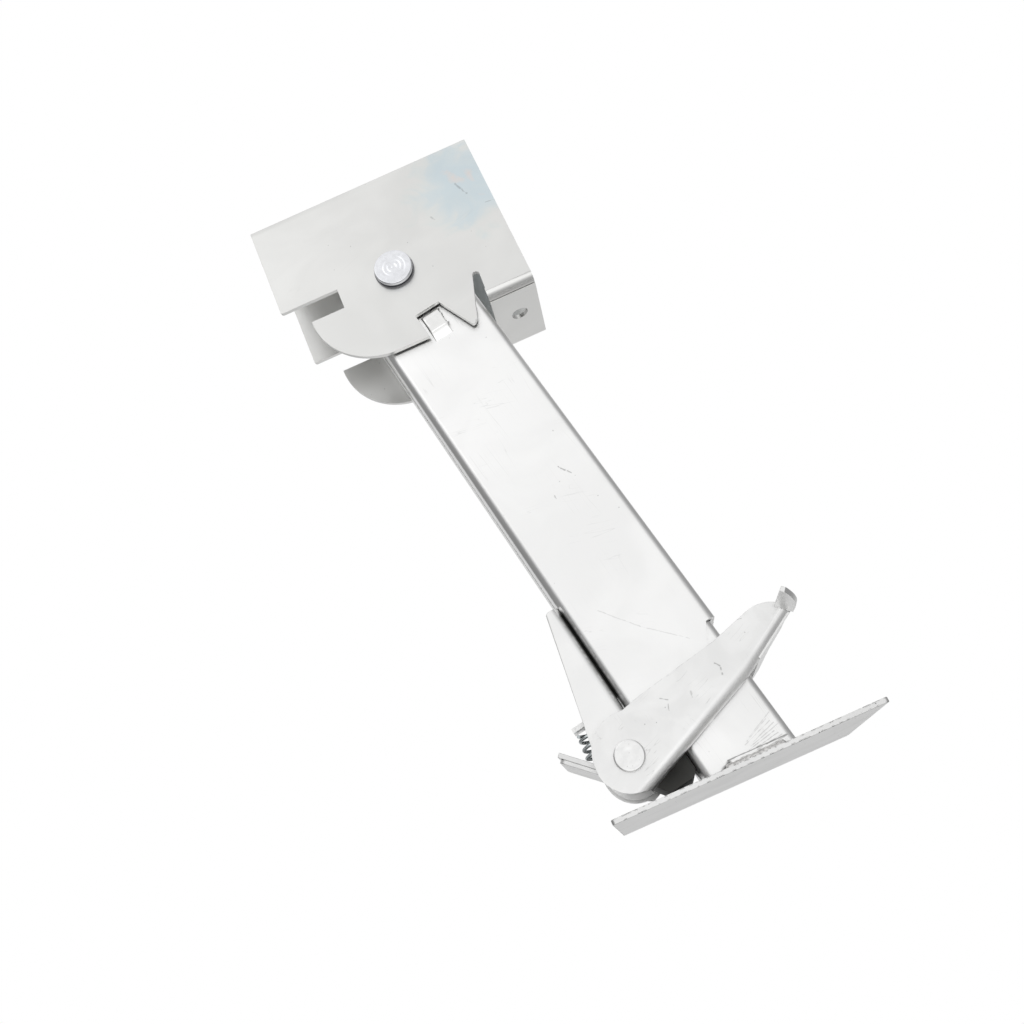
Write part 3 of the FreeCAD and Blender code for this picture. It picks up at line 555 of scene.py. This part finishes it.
ear_metal = plated(
    "bright ears", (0.935, 0.935, 0.93), 0.34, cloud=0.05, cloud_size=0.03, seed=(0.9, 0.1, 0.3),
    scratches=[(0.14, {"Turn": turn((1, 0, 0.5)), "Spacing": 0.0024, "Stretch": 12.0,
                       "Patches": 0.014, "Rarity": 0.50, "Thinness": 0.014})],
    # painted shade down the groove beside the leg
    marks=[GROOVE_SHADE,
           mark(on_leg(-31.1, 178.6, WALL_MM), on_leg(-47.2, 240.0, WALL_MM),
                0.55, 0.2, 0.62, 0.8)],
    wear=(0.28, {"Reach": 0.0004, "Rarity": 0.48, "Grain": 0.003}))
pawl_metal = plated(
    "paddle steel", (0.82, 0.82, 0.815), 0.36, cloud=0.10, cloud_size=0.012, seed=(0.2, 0.2, 0.6),
    # A wide mark paints shade over the pawl's end, in the pocket under the lever.
    marks=[mark(on_lever(13.0, -10.0, 16.0), on_lever(13.0, -10.0, -16.0), 24.0, 1.0, 1.6, 0.9)],
    wear=(0.40, {"Reach": 0.0005, "Rarity": 0.44, "Grain": 0.002}),
    specks=(0.4, {"Cell": 0.003, "Spot": 0.08, "Patches": 0.01, "Rarity": 0.56}))

# %% [markdown]
# ## Foot finish
# The foot is the piece that meets the ground. Its sheared edge is chipped, with dark flecks
# all along it, and its face is a greyer zinc.

# %% Foot and weld materials
foot_metal = plated(
    "foot plate", (0.83, 0.83, 0.825), 0.38, cloud=0.08, cloud_size=0.03, seed=(0.4, 0.8, 0.2),
    scratches=[(0.16, {"Turn": turn((1, 0, 0)), "Spacing": 0.004, "Stretch": 14.0,
                       "Patches": 0.02, "Rarity": 0.5})],
    wear=(1.4, {"Reach": 0.0009, "Rarity": 0.49, "Grain": 0.0020}),
    specks=(0.6, {"Cell": 0.0035, "Spot": 0.10, "Patches": 0.008, "Rarity": 0.60}))
weld_metal = plated(
    "plated weld", (0.80, 0.79, 0.78), 0.42, cloud=0.25, cloud_size=0.003, grain=0.0006, bump=0.5,
    specks=(0.75, {"Cell": 0.0012, "Spot": 0.20, "Patches": 0.003, "Rarity": 0.52}))

# %% [markdown]
# ## Rivets, spring and small steel
# The big rivet is polished before plating, so it is close to chrome and a little blue. Its
# washers are painted dark as painted shade, to draw a shadow line under each head. The lever's
# rivet is satin.
# The spring wire is darker, because its coils shade each other.

# %% Small steel materials
rivet_metal = plated(
    "polished rivet", (0.83, 0.84, 0.87), 0.15, cloud=0.10, cloud_size=0.003, grain=0.0005,
    bump=0.15,
    scratches=[(0.22, {"Turn": turn((1, 0, 0.3)), "Spacing": 0.0012, "Stretch": 8.0,
                       "Patches": 0.006, "Rarity": 0.52})])
satin_rivet_metal = plated(
    "satin rivet", (0.90, 0.90, 0.895), 0.32, cloud=0.07, cloud_size=0.003, bump=0.3,
    specks=(0.25, {"Cell": 0.0016, "Spot": 0.12, "Patches": 0.004, "Rarity": 0.55}))
# The pivot washers are painted dark: painted shade for the shadow line under each head.
washer_shade_metal = plated("washer painted as shadow", (0.20, 0.20, 0.21), 0.30, cloud=0.10, cloud_size=0.004)
lug_metal = plated(
    "torn lug", (0.86, 0.86, 0.85), 0.20, cloud=0.05, cloud_size=0.004, grain=0.0008, bump=0.04,
    wear=(0.35, {"Reach": 0.0004, "Rarity": 0.5, "Grain": 0.001}))
spring_metal = plated(
    "spring wire", (0.62, 0.66, 0.67), 0.24, cloud=0.25, cloud_size=0.002, grain=0.0004,
    specks=(0.5, {"Cell": 0.001, "Spot": 0.15, "Patches": 0.003, "Rarity": 0.58}))
sleeve_metal = plated(
    "turned sleeve", (0.66, 0.67, 0.68), 0.30, cloud=0.10, cloud_size=0.006,
    scratches=[(0.30, {"Turn": (0.0, 0.0, 0.0), "Spacing": 0.0008, "Stretch": 20.0,
                       "Patches": 0.01, "Rarity": 0.4})])

# %% [markdown]
# ## Nylon shoe
# The slide shoe inside the leg is moulded nylon: not metal, slightly waxy, with grey rub
# streaks along the way it slides. Subsurface stays off, because the shoe is thick and dark
# inside the channel.

# %% Nylon
nylon = bpy.data.materials.new("rubbed nylon")
nylon.use_nodes = True
tree = nylon.node_tree
tree.nodes.clear()
satin = place_group(tree, "satin grain", Grain_Size=0.0006, Cloud_Size=0.008)
streaks = place_group(tree, "fine scratches", Turn=turn(DOWN), Spacing=0.0015, Stretch=20.0,
                      Patches=0.01, Rarity=0.42, Thinness=0.03)["Mask"]
colour = mix_colour(tree, satin["Cloud"], (0.66, 0.64, 0.57, 1), (0.74, 0.72, 0.66, 1))
colour = mix_colour(tree, maths(tree, "MULTIPLY", streaks, 0.7), colour, (0.30, 0.30, 0.29, 1))
relief = add(tree, "Bump", {"Height": satin["Grain"], "Strength": 0.2, "Distance": 0.0001})
spread = fade(tree, satin["Grain"], 0.3, 0.7, 0.42, 0.55)
body = add(tree, "BsdfPrincipled", {"Base Color": colour, "Roughness": spread,
                                    "Normal": relief.outputs[0]})
tree.links.new(body.outputs[0], add(tree, "OutputMaterial").inputs["Surface"])
print("material", nylon.name)

# %% [markdown]
# ## Softened sheet
# A real fold or sheared edge is never razor sharp, and its small round is what draws the
# bright line along every edge. A CAD node's mesh is loose triangles and stays as it is, so
# each sheet piece is a copy: its corners are merged, flat neighbours are joined, and a
# Bevel modifier rounds what is still sharp. The copy stands for the node and rides with
# the node's body.

# %% Softened sheet pieces
SHARP = math.radians(32)


def softened(node, name, material, body, width):
    """A copy of a CAD node, merged and cleaned, whose sharp edges get a small round."""
    mesh = frame["nodes"][node].data.copy()
    mesh.name = name
    work = bmesh.new()
    work.from_mesh(mesh)
    bmesh.ops.remove_doubles(work, verts=work.verts, dist=2e-6)
    bmesh.ops.dissolve_limit(work, angle_limit=math.radians(0.4), verts=work.verts,
                             edges=work.edges)
    open_edges = sum(1 for edge in work.edges if not edge.is_manifold)
    work.to_mesh(mesh)
    work.free()
    mesh.materials.clear()
    mesh.materials.append(material)
    mesh.shade_smooth()
    mesh.set_sharp_from_angle(angle=SHARP)
    piece = bpy.data.objects.new(name, mesh)
    bpy.context.scene.collection.objects.link(piece)
    if width > 0:
        bevel = piece.modifiers.new("soft edges", "BEVEL")
        bevel.width = width * MM
        bevel.segments = 2
        bevel.limit_method = "ANGLE"
        bevel.angle_limit = SHARP
        bevel.harden_normals = True
    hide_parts(node)
    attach(piece, body)
    print(name, "faces", len(mesh.polygons), "open edges", open_edges)


softened("bracket", "mounting_bracket", bracket_metal, "bracket", 0.22)
softened("outer_leg", "outer_channel", leg_metal, "outer_leg", 0.22)
softened("inner_leg", "inner_channel", inner_metal, "inner_leg", 0.22)
softened("lever_bracket", "lever_ears", ear_metal, "outer_leg", 0.20)
softened("lever", "release_lever", lever_metal, "lever", 0.28)
softened("grip_pawl", "paddle_and_pawl", pawl_metal, "grip", 0.25)
softened("paddle_backing", "paddle_under_layer", pawl_metal, "grip", 0.25)
softened("foot_plate", "flat_foot", foot_metal, "inner_leg", 0.25)

# %% [markdown]
# ## Surfaces on a grid
# The other new pieces are surfaces worked out as whole arrays: a grid of points in two
# parameters, joined into four-sided faces. The grid closes on itself one way round, and
# each of its two open ends is closed with a fan about its middle.

# %% Grid surfaces
def grid_mesh(name, points):
    """A mesh from an array of points with shape (rows, columns, 3). The columns close on
    themselves, and each end row gets a fan."""
    rows, columns = points.shape[:2]
    middles = np.array([points[0].mean(0), points[-1].mean(0)])
    vertices = np.concatenate([points.reshape(-1, 3), middles])
    row = np.arange(rows - 1)[:, None]
    column = np.arange(columns)[None, :]
    beside, below = (column + 1) % columns, row + 1
    quads = np.stack([row * columns + column, row * columns + beside,
                      below * columns + beside, below * columns + column], -1).reshape(-1, 4)
    ring = np.arange(columns)
    first, last = rows * columns, rows * columns + 1
    base = (rows - 1) * columns
    first_fan = np.stack([np.full(columns, first), (ring + 1) % columns, ring], -1)
    last_fan = np.stack([np.full(columns, last), base + ring, base + (ring + 1) % columns], -1)
    faces = quads.tolist() + first_fan.tolist() + last_fan.tolist()
    mesh = bpy.data.meshes.new(name)
    mesh.from_pydata(vertices.tolist(), [], faces)
    work = bmesh.new()
    work.from_mesh(mesh)
    bmesh.ops.remove_doubles(work, verts=work.verts, dist=1e-7)
    bmesh.ops.recalc_face_normals(work, faces=work.faces)
    work.to_mesh(mesh)
    work.free()
    mesh.shade_smooth()
    mesh.set_sharp_from_angle(angle=math.radians(40))
    return mesh


def finish_piece(name, mesh, material, slot, body, *nodes):
    """Shows a mesh as a piece that stands for some nodes and rides on a body."""
    mesh.materials.append(material)
    piece = bpy.data.objects.new(name, mesh)
    bpy.context.scene.collection.objects.link(piece)
    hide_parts(*nodes)
    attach(piece, body)
    print(name, "faces", len(mesh.polygons))
    return piece


# %% [markdown]
# ## Rivets
# A rivet is a turned part. Its profile is a list of radius and height pairs from the middle
# of one head, over the rim and down the shank, to the middle of the other head. Carrying it
# round the axis gives the whole rivet. The big one shows rings from being spun into shape,
# and the small one shows a flat hammered dimple.

# %% Rivets
def ringed_head(radius, height, rim, rings, depth, dimple):
    """Half of a head's profile, from its middle out to its rim, as (radius, height) rows.
    The face is flat, less a cosine ripple for the rings, which dies out towards the rim, and
    less a round dimple in the middle."""
    r = np.linspace(0.02, radius - rim, 60)
    ripple = depth * 0.5 * (1 - np.cos(2 * np.pi * rings * r / (radius - rim)))
    ripple *= np.exp(-(r / (0.72 * radius)) ** 6)
    pit = dimple * np.exp(-(r / (0.16 * radius)) ** 2)
    face = np.stack([r, height - ripple - pit], -1)
    a = np.linspace(0, np.pi / 2, 9)[1:]
    round_rim = np.stack([radius - rim + rim * np.sin(a), height - rim + rim * np.cos(a)], -1)
    return np.concatenate([face, round_rim])


def turned_rivet(name, centre, head, underside, shank):
    """Revolves a head, a step to the shank and the same again mirrored, about Y. The rows
    are the profile's points and the columns are the turn. The head is undercut where it
    meets the washer, so that a thin shadow line parts them."""
    radius = head[-1][0]
    steps = np.array([[radius, underside + 0.75], [radius - 0.5, underside + 0.5],
                      [radius - 0.5, underside], [shank, underside]])
    half = np.concatenate([head, steps])
    profile = np.concatenate([half, half[::-1] * (1, -1)])
    a = np.linspace(0, 2 * np.pi, 96, endpoint=False)
    r, y = profile[:, :1], profile[:, 1:]
    points = np.stack([r * np.cos(a), -y + 0 * a, r * np.sin(a)], -1) * MM + centre
    return grid_mesh(name, points)


PIVOT_HEAD, PIVOT_SHANK = 9.1, 4.75
head = ringed_head(PIVOT_HEAD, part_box("pivot_rivet")[1].y / MM, rim=0.6, rings=4.0, depth=0.16,
                   dimple=0.10)
under_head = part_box("pivot_washer_rear")[1].y / MM
finish_piece("ringed_pivot_rivet",
             turned_rivet("ringed_pivot_rivet", PIVOT, head, under_head, PIVOT_SHANK),
             rivet_metal, "rivet_steel", "bracket", "pivot_rivet")

LEVER_HEAD, LEVER_SHANK = 6.15, 4.0
head = ringed_head(LEVER_HEAD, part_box("lever_rivet")[1].y / MM, rim=0.8, rings=1.5, depth=0.10,
                   dimple=0.12)
finish_piece("dimpled_lever_rivet",
             turned_rivet("dimpled_lever_rivet", LEVER_PIVOT, head, CHEEK_MM, LEVER_SHANK),
             satin_rivet_metal, "lever_rivet_steel", "outer_leg", "lever_rivet")

# %% [markdown]
# ## Lock lugs
# A lug is a bridge pressed out of the leg's wall. It is lanced along its two sides, so one
# side is a clean shear and the other is torn and ragged. The piece is a closed tube of
# sections: each section, one for each place down the leg, is a rounded box from the wall
# up to the bridge's height there.

# %% Lugs
def lug_mesh(name, side):
    """Rows run down the leg and columns run round each section. The height is an arch that
    rises fast and falls slowly, the section is a superellipse, and the torn side moves in and
    out by a seeded sum of sines."""
    across_middle, across_half, start, end, height = 1.9, 4.8, 28.6, 42.6, 3.3
    s = np.linspace(0, 1, 60)[:, None]
    a = np.linspace(0, 2 * np.pi, 72, endpoint=False)[None, :]
    arch = height * (0.46 + 0.54 * np.sin(np.pi * np.clip(s * 1.05, 0, 1) ** 0.62))
    arch = arch * np.clip((1.0 - s) * 3.2, 0, 1) ** 0.8
    c, q = np.cos(a), np.sin(a)
    wide = across_half * np.sign(c) * np.abs(c) ** 0.22
    tall = np.sign(q) * np.abs(q) ** 0.30
    rng = np.random.default_rng(7)
    torn = sum(rng.uniform(0.08, 0.28) * np.sin(2 * np.pi * (k * s + rng.random()))
               for k in (2, 3, 5, 8, 13))
    torn = torn + 0.12 * np.sin(2 * np.pi * (3 * s + a / np.pi))
    wide = wide + np.clip(c, 0, 1) ** 2 * (torn - 0.35)
    front = WALL_MM - 0.4 + np.where(tall > 0, tall * (arch + 0.4), tall * 0.6)
    ripple = 0.05 * np.sin(14 * s + 2.0 * c) * np.clip(tall, 0, 1)
    along = start + (end - start) * s + 0 * a
    points = (PIVOT + ((across_middle + wide)[..., None] * ACROSS + along[..., None] * DOWN
                       + (side * (front + ripple))[..., None] * FRONT) * MM)
    return grid_mesh(name, points)


finish_piece("torn_lug_front", lug_mesh("torn_lug_front", 1), lug_metal, "zinc_lug", "outer_leg",
             "lock_lug_front")
finish_piece("torn_lug_rear", lug_mesh("torn_lug_rear", -1), lug_metal, "zinc_lug", "outer_leg",
             "lock_lug_rear")

# %% [markdown]
# ## Grip spring
# The spring is round wire wound into a helix, with its coils closer together at each end.
# Its centre line is one formula: the turn runs evenly, and the rise slows at both ends. A
# circle carried along it, square to the line, is the wire. It rides on the outer leg as it is.

# %% Spring
def spring_mesh(name, foot, top, coil_radius, wire, turns):
    """Rows are places along the wire, and columns go round it. The centre line turns evenly
    and rises by a smooth step, mixed with a straight rise."""
    axis = (top - foot) / np.linalg.norm(top - foot)
    side = np.cross(axis, FRONT)
    side /= np.linalg.norm(side)
    front = np.cross(axis, side)
    t = np.linspace(0, 1, 420)
    smooth = t * t * (3 - 2 * t)
    rise = (0.35 * t + 0.65 * smooth)[:, None] * (top - foot)
    a = (2 * np.pi * turns * t)[:, None]
    line = foot + rise + coil_radius * (np.cos(a) * side + np.sin(a) * front)
    tangent = np.gradient(line, axis=0)
    tangent /= np.linalg.norm(tangent, axis=1)[:, None]
    outwards = np.cos(a) * side + np.sin(a) * front
    across = np.cross(tangent, outwards)
    outwards = np.cross(across, tangent)
    b = np.linspace(0, 2 * np.pi, 20, endpoint=False)[None, :, None]
    points = line[:, None] + wire * (np.cos(b) * outwards[:, None] + np.sin(b) * across[:, None])
    return grid_mesh(name, points)


# %% [markdown]
# The two ends come from the CAD spring's own points: the farthest points along the line
# from the paddle to the shelf are its top and bottom, and the wire's radius is taken off.

# %% Place the spring
WIRE, COIL, TURNS = 0.75, 4.2, 3.5
grip_points = np.array([v.co for v in frame["nodes"]["grip_spring"].data.vertices], float)
middle = (grip_points.min(0) + grip_points.max(0)) / 2
SPRING_AXIS = np.array([0.0357, 0.0, 0.9994])
along_axis = (grip_points - middle) @ SPRING_AXIS
spring_foot = middle + SPRING_AXIS * (along_axis.min() + WIRE * MM)
spring_top = middle + SPRING_AXIS * (along_axis.max() - WIRE * MM)
spring = finish_piece(
    "wound_spring",
    spring_mesh("wound_spring", spring_foot, spring_top, COIL * MM, WIRE * MM, TURNS),
    spring_metal, "spring_wire", "outer_leg", "grip_spring")
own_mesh(spring)
print("spring length", round(np.linalg.norm(spring_top - spring_foot) / MM, 2), "mm")

# %% [markdown]
# ## Weld beads
# The inner leg is welded to the foot along its front and rear walls. A bead is laid in
# overlapping puddles, so it is a half-round strip whose size swells and shrinks along its
# length, leaning on the wall and on the foot, with both ends tapered.

# %% Weld beads
def bead_mesh(name, start, end, wall_y, foot_z, size):
    """Rows run along X and columns round the bead. The radius is the size, swollen by a
    rectified sine for the puddles and narrowed at both ends."""
    s = np.linspace(0, 1, 120)[:, None]
    a = np.linspace(0, 2 * np.pi, 28, endpoint=False)[None, :]
    side = np.sign(wall_y)
    puddles = 0.92 + 0.08 * np.abs(np.sin(np.pi * 11 * s + 0.5 * np.sin(a)))
    ends = np.clip(np.minimum(s, 1 - s) * 14, 0.02, 1) ** 0.5
    radius = size * puddles * ends * (1 + 0.05 * np.sin(23 * s))
    x = start + (end - start) * s + 0 * a
    y = wall_y + side * radius * (0.25 + 0.75 * np.cos(a))
    z = foot_z + radius * (0.28 + 0.72 * np.sin(a))
    return grid_mesh(name, np.stack([x, y, z], -1))


weld_low, weld_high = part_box("foot_weld")
bead_size = weld_high.z - weld_low.z
BEAD_SHARE = 0.8
beads = []
for label, wall_y in (("front", weld_low.y + bead_size), ("rear", weld_high.y - bead_size)):
    beads.append(bead_mesh("bead_" + label, weld_low.x, weld_high.x, wall_y, weld_low.z,
                           bead_size * BEAD_SHARE))
work = bmesh.new()
for mesh in beads:
    work.from_mesh(mesh)
    bpy.data.meshes.remove(mesh)
both = bpy.data.meshes.new("rippled_weld")
work.to_mesh(both)
work.free()
both.shade_smooth()
finish_piece("rippled_weld", both, weld_metal, "weld_bead", "inner_leg", "foot_weld")

# %% [markdown]
# ## The nodes that stay
# Turned sleeves, bushes and washers already have their right shape in the CAD model, and
# most of them hide inside. They keep their meshes and only get a finish.

# %% Finishes on the CAD nodes that stay
kept_finishes = {
    # The pivot washers take the dark painted-shade material.
    "pivot_washer_front": washer_shade_metal, "pivot_washer_rear": washer_shade_metal,
    "pivot_sleeve": sleeve_metal, "lever_bush": sleeve_metal,
    "lever_washer_front": sleeve_metal, "lever_washer_rear": sleeve_metal,
    "slide_shoe": nylon}
for node_name, material in kept_finishes.items():
    mesh = frame["nodes"][node_name].data
    mesh.materials.clear()
    mesh.materials.append(material)
print("finished", len(kept_finishes), "CAD nodes in place")

# %% [markdown]
# ## Floor
# The leg stands on a pale floor in a white studio. The camera looks up from just below the
# foot, so the floor must not hide the foot's underside: it shows only its top face, and
# from below it is clear. It is also left out of reflections, because the face of the foot
# that rests on it would only mirror its own shadow. When the leg is drawn out, the floor
# goes down with the foot, and it never rises above its place at rest. Two constraints do
# this: one copies the height of the foot's body, and one limits it.

# %% Floor
FLOOR_HALF = 12.0
FLOOR_GAP = 0.2 * MM
floor_z = cad_box[0][2] - FLOOR_GAP
floor_mesh = bpy.data.meshes.new("floor")
floor_mesh.from_pydata([(-FLOOR_HALF, -FLOOR_HALF, floor_z), (FLOOR_HALF, -FLOOR_HALF, floor_z),
                        (FLOOR_HALF, FLOOR_HALF, floor_z), (-FLOOR_HALF, FLOOR_HALF, floor_z)],
                       [], [(0, 1, 2, 3)])
floor = bpy.data.objects.new("floor", floor_mesh)
bpy.context.scene.collection.objects.link(floor)
pale = bpy.data.materials.new("pale floor")
pale.use_nodes = True
tree = pale.node_tree
tree.nodes.clear()
matt = add(tree, "BsdfDiffuse", {"Color": (0.93, 0.93, 0.93, 1.0)})
clear = add(tree, "BsdfTransparent")
facing = add(tree, "NewGeometry").outputs["Backfacing"]
shown = add(tree, "MixShader", {0: facing, 1: matt.outputs[0], 2: clear.outputs[0]})
tree.links.new(shown.outputs[0], add(tree, "OutputMaterial").inputs["Surface"])
floor_mesh.materials.append(pale)
floor.visible_glossy = False
inner_body = frame["bodies"]["inner_leg"]
floor.location.z = -inner_body.matrix_world.translation.z
follow = floor.constraints.new("COPY_LOCATION")
follow.target = inner_body
follow.use_x = follow.use_y = False
follow.use_offset = True
limit = floor.constraints.new("LIMIT_LOCATION")
limit.use_max_z = True
limit.max_z = 0.0
print("floor at", round(floor_z / MM, 2), "mm")

# %% [markdown]
# ## World and lights
# Polished metal shows what is around it, so the studio is drawn into the world: white ahead
# and above, darker to the sides and straight below, with one brighter patch low in front
# that lights the rounds of the folds. Two weak square lights add soft shadows.

# %% World and lights
STRIP_DIRECTION = (0.0, -0.93, -0.37)
world = bpy.data.worlds.new("white studio")
bpy.context.scene.world = world
world.use_nodes = True
tree = world.node_tree
tree.nodes.clear()
sky = add(tree, "TexCoord").outputs["Generated"]
direction = add(tree, "SeparateXYZ", {0: sky}).outputs
height = fade(tree, direction["Z"], -0.98, -0.60, 0.42, 1.0)
sideways = maths(tree, "MULTIPLY", fade(tree, direction["X"], -0.85, -0.40, 0.26, 1.0),
                 fade(tree, direction["X"], 0.40, 0.85, 1.0, 0.34))
behind = fade(tree, direction["Y"], 0.0, 0.7, 1.0, 0.80)
strip = vector_maths(tree, "DOT_PRODUCT", sky, STRIP_DIRECTION).outputs["Value"]
strip_light = fade(tree, strip, 0.93, 0.985, 0.0, 0.45)
glow = maths(tree, "MULTIPLY", maths(tree, "MULTIPLY", height, sideways), behind)
glow = maths(tree, "ADD", glow, strip_light)
seen = add(tree, "LightPath").outputs["Is Camera Ray"]
studio = add(tree, "Background", {"Color": (1.0, 1.0, 1.0, 1.0), "Strength": glow})
backdrop = add(tree, "Background", {"Color": (1.0, 1.0, 1.0, 1.0), "Strength": 1.0})
both_worlds = add(tree, "MixShader", {0: seen, 1: studio.outputs[0], 2: backdrop.outputs[0]})
tree.links.new(both_worlds.outputs[0], add(tree, "OutputWorld").inputs["Surface"])


LEG_MIDDLE = Vector((0.02, 0.0, -0.17))


def soft_light(name, place, size, power):
    """A square area light that faces the middle of the leg."""
    lamp = bpy.data.lights.new(name, "AREA")
    lamp.size = size
    lamp.energy = power
    holder = bpy.data.objects.new(name, lamp)
    bpy.context.scene.collection.objects.link(holder)
    holder.location = place
    aim = LEG_MIDDLE - holder.location
    holder.rotation_euler = aim.to_track_quat("-Z", "Y").to_euler()


soft_light("key", (-0.5, -0.9, 0.55), 0.7, 0.5)
soft_light("fill", (0.9, -0.7, 0.1), 0.8, 0.3)
bpy.context.scene.view_settings.view_transform = "Standard"
print("studio ready")
